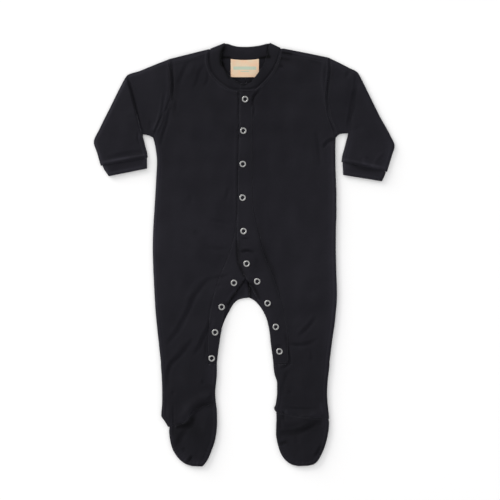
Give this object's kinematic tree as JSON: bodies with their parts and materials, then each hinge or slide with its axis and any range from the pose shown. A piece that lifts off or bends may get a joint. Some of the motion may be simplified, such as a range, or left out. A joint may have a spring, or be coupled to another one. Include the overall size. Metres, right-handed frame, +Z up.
{
  "type": "footed baby sleepsuit",
  "caption": "Long-sleeved footed baby sleepsuit in dark cotton jersey, fastened with ring poppers down the front and both inner legs, laid flat.",
  "frame": {"origin": "on the surface that the garment lies on, under the middle of its outline", "axes": "+Y towards the neck, +X towards the wearer's left, +Z up out of the garment's front"},
  "size_m": [0.4356, 0.6144, 0.0082],
  "materials": {
    "jersey": "matt cotton interlock, washed black",
    "rib": "matt fine cotton rib, washed black",
    "label": "plain woven satin, peach",
    "popper_metal": "bright nickel plate"
  },
  "bodies": {
    "root": {"back_left": "jersey", "back_right": "jersey", "front_left": "jersey", "front_right": "jersey", "placket_left": "jersey", "placket_right": "jersey", "sleeve_left": "jersey", "sleeve_right": "jersey", "foot_upper_left": "jersey", "foot_upper_right": "jersey", "foot_sole_left": "jersey", "foot_sole_right": "jersey", "neckband": "rib", "cuff_left": "rib", "cuff_right": "rib", "neck_label": "label", "popper_centre_1": "popper_metal", "popper_centre_2": "popper_metal", "popper_centre_3": "popper_metal", "popper_centre_4": "popper_metal", "popper_centre_5": "popper_metal", "popper_centre_6": "popper_metal", "popper_right_leg_1": "popper_metal", "popper_right_leg_2": "popper_metal", "popper_right_leg_3": "popper_metal", "popper_right_leg_4": "popper_metal", "popper_left_leg_1": "popper_metal", "popper_left_leg_2": "popper_metal", "popper_left_leg_3": "popper_metal", "popper_left_leg_4": "popper_metal"}
  },
  "joints": []
}
